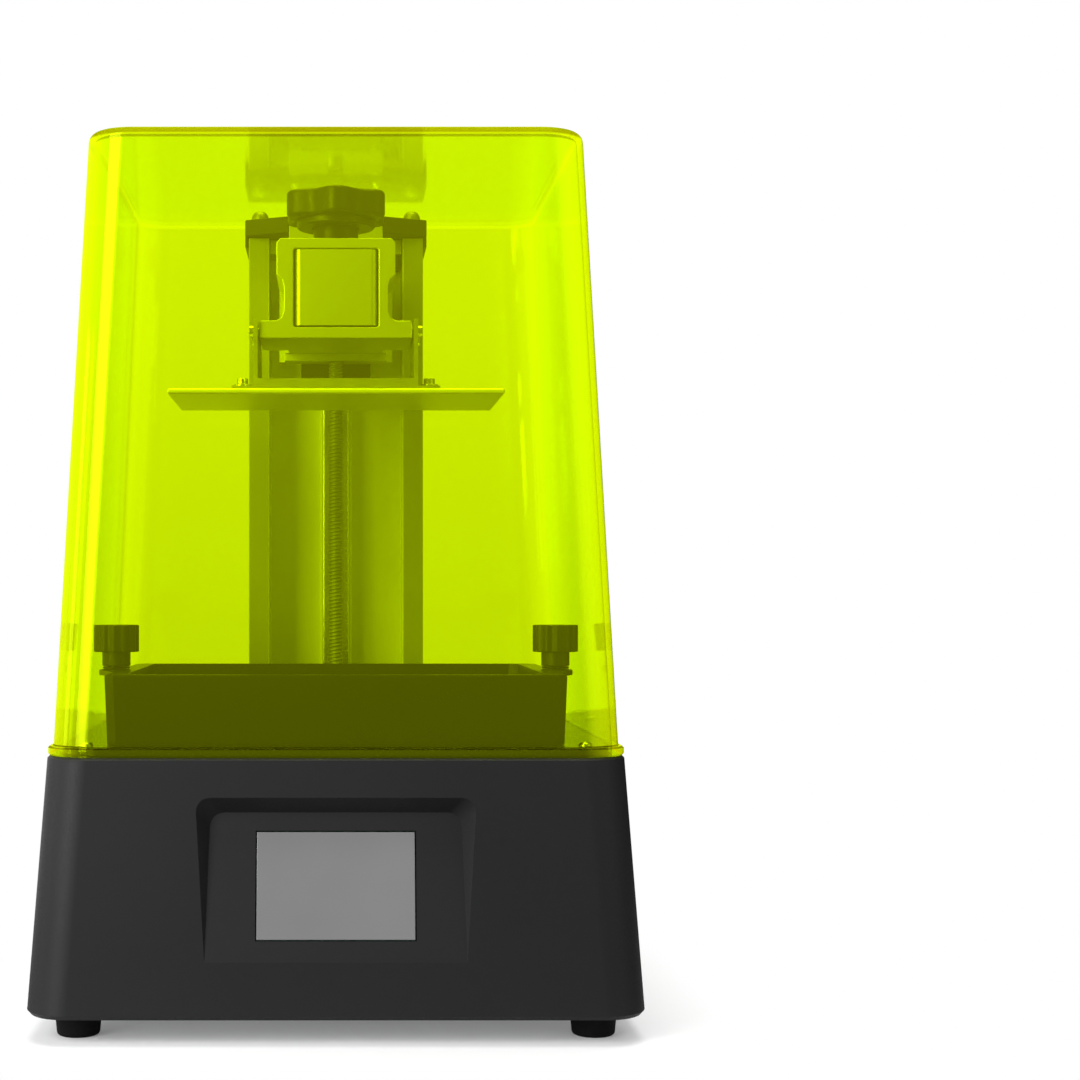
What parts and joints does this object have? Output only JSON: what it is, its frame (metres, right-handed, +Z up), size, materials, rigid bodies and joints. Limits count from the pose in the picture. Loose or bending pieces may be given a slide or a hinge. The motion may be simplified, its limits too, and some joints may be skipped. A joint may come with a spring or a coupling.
{
  "type": "resin 3d printer",
  "caption": "Desktop resin printer: tapered dark base with a recessed touch screen, tinted lift-off cover, vat with thumb screws, and a build platform on a screw-driven column.",
  "frame": {"origin": "centre of the footprint, on the surface that the feet stand on", "axes": "+X to the printer's right seen from the front, +Y to its rear, +Z up"},
  "size_m": [0.2898, 0.2898, 0.43],
  "materials": {
    "housing_paint": "matt dark grey powder coat",
    "zinc_steel": "zinc plated sheet",
    "foot_rubber": "moulded rubber",
    "touch_glass": "grey display glass",
    "circuit_board": "solder mask",
    "black_plastic": "moulded, fine texture",
    "knob_plastic": "moulded, fine texture",
    "bright_steel": "ground or plated",
    "lcd_glass": "dark polished glass",
    "clear_lens": "clear moulded",
    "anodised_aluminium": "bead blasted and anodised",
    "motor_paint": "black laminations",
    "nut_brass": "turned",
    "plate_aluminium": "sanded face",
    "vat_plastic": "moulded, satin",
    "film_clear": "clear film",
    "cover_acrylic": "clear fluorescent acrylic"
  },
  "bodies": {
    "base": {"base_shell": "housing_paint", "bottom_plate": "zinc_steel", "foot_front_left": "foot_rubber", "foot_front_right": "foot_rubber", "foot_rear_left": "foot_rubber", "foot_rear_right": "foot_rubber", "deck_plate": "housing_paint", "lcd_panel": "lcd_glass", "fresnel_lens": "clear_lens", "light_hood": "black_plastic", "led_array_board": "circuit_board", "heat_sink": "anodised_aluminium", "led_fan_frame": "black_plastic", "mainboard": "circuit_board", "power_supply": "zinc_steel", "touch_screen": "touch_glass", "display_module": "circuit_board", "exhaust_fan_frame": "black_plastic", "mains_inlet": "black_plastic", "power_switch_body": "black_plastic", "usb_port": "bright_steel", "z_motor": "motor_paint", "bearing_block": "anodised_aluminium", "top_bearing": "bright_steel", "column": "anodised_aluminium", "column_cap": "black_plastic", "linear_rail": "bright_steel", "limit_sensor": "black_plastic"},
    "led_fan": {"led_fan_rotor": "black_plastic"},
    "exhaust_fan": {"exhaust_fan_rotor": "black_plastic"},
    "rocker": {"power_rocker": "knob_plastic"},
    "z_screw": {"lead_screw": "bright_steel", "shaft_coupling": "anodised_aluminium", "motor_shaft": "bright_steel"},
    "z_carriage": {"carriage_block": "bright_steel", "carriage_seal_lower": "black_plastic", "carriage_seal_upper": "black_plastic", "lead_nut": "nut_brass", "platform_arm": "anodised_aluminium"},
    "platform": {"platform_hanger": "anodised_aluminium"},
    "clamp": {"clamp_pad": "bright_steel"},
    "knob": {"platform_knob": "knob_plastic"},
    "plate": {"platform_bracket": "bright_steel", "build_plate": "plate_aluminium", "plate_screw_front_left": "bright_steel", "plate_screw_front_right": "bright_steel", "plate_screw_rear_left": "bright_steel", "plate_screw_rear_right": "bright_steel", "level_screw_front_left": "bright_steel", "level_screw_front_right": "bright_steel", "level_screw_rear_left": "bright_steel", "level_screw_rear_right": "bright_steel"},
    "vat": {"vat_body": "vat_plastic", "release_film": "film_clear", "film_clamp_frame": "zinc_steel"},
    "washer_left": {"thumb_washer_left": "bright_steel"},
    "washer_right": {"thumb_washer_right": "bright_steel"},
    "thumb_left": {"thumb_screw_left": "knob_plastic"},
    "thumb_right": {"thumb_screw_right": "knob_plastic"},
    "cover": {"cover": "cover_acrylic"}
  },
  "joints": [
    {"name": "cover_lift", "type": "slide", "parent": "base", "child": "cover", "axis": [0, 0, 1], "range_m": [0, 0.3]},
    {"name": "z_travel", "type": "slide", "parent": "base", "child": "z_carriage", "axis": [0, 0, 1], "range_m": [-0.1668, 0.0032]},
    {"name": "lead_screw_spin", "type": "hinge", "parent": "base", "child": "z_screw", "pos_m": [0, 0.05, 0.15], "axis": [0, 0, 1], "range_deg": [-290, 15015]},
    {"name": "platform_release", "type": "slide", "parent": "z_carriage", "child": "platform", "axis": [0, -1, 0], "range_m": [0, 0.03]},
    {"name": "clamp_rise", "type": "slide", "parent": "platform", "child": "clamp", "axis": [0, 0, 1], "range_m": [0, 0.005]},
    {"name": "knob_turn", "type": "hinge", "parent": "clamp", "child": "knob", "pos_m": [0, -0.041, 0.3977], "axis": [0, 0, 1], "range_deg": [0, 1445]},
    {"name": "plate_level", "type": "hinge", "parent": "platform", "child": "plate", "pos_m": [0, -0.041, 0.3406], "axis": [1, 0, 0], "range_deg": [-0.5, 0.5]},
    {"name": "vat_lift", "type": "slide", "parent": "base", "child": "vat", "axis": [0, 0, 1], "range_m": [0, 0.05]},
    {"name": "thumb_rise_left", "type": "slide", "parent": "vat", "child": "washer_left", "axis": [0, 0, 1], "range_m": [0, 0.01]},
    {"name": "thumb_turn_left", "type": "hinge", "parent": "washer_left", "child": "thumb_left", "pos_m": [-0.1125, -0.041, 0.1715], "axis": [0, 0, 1], "range_deg": [0, 3605]},
    {"name": "thumb_rise_right", "type": "slide", "parent": "vat", "child": "washer_right", "axis": [0, 0, 1], "range_m": [0, 0.01]},
    {"name": "thumb_turn_right", "type": "hinge", "parent": "washer_right", "child": "thumb_right", "pos_m": [0.1125, -0.041, 0.1715], "axis": [0, 0, 1], "range_deg": [0, 3605]},
    {"name": "power_rocker_tilt", "type": "hinge", "parent": "base", "child": "rocker", "pos_m": [0.098, 0.1384, 0.08389], "axis": [-1, 0, 0], "range_deg": [0, 14]},
    {"name": "exhaust_fan_spin", "type": "hinge", "parent": "base", "child": "exhaust_fan", "pos_m": [-0.07, 0.14061, 0.074], "axis": [0, 0.9975, 0.0707], "continuous": true},
    {"name": "led_fan_spin", "type": "hinge", "parent": "base", "child": "led_fan", "pos_m": [0, -0.041, 0.021], "axis": [0, 0, 1], "continuous": true}
  ],
  "couplings": [
    {"joint": "lead_screw_spin", "follows": "z_travel", "rad_per_m": -1570.8},
    {"joint": "knob_turn", "follows": "clamp_rise", "rad_per_m": 5026.5},
    {"joint": "thumb_turn_left", "follows": "thumb_rise_left", "rad_per_m": 6283.2},
    {"joint": "thumb_turn_right", "follows": "thumb_rise_right", "rad_per_m": 6283.2}
  ]
}
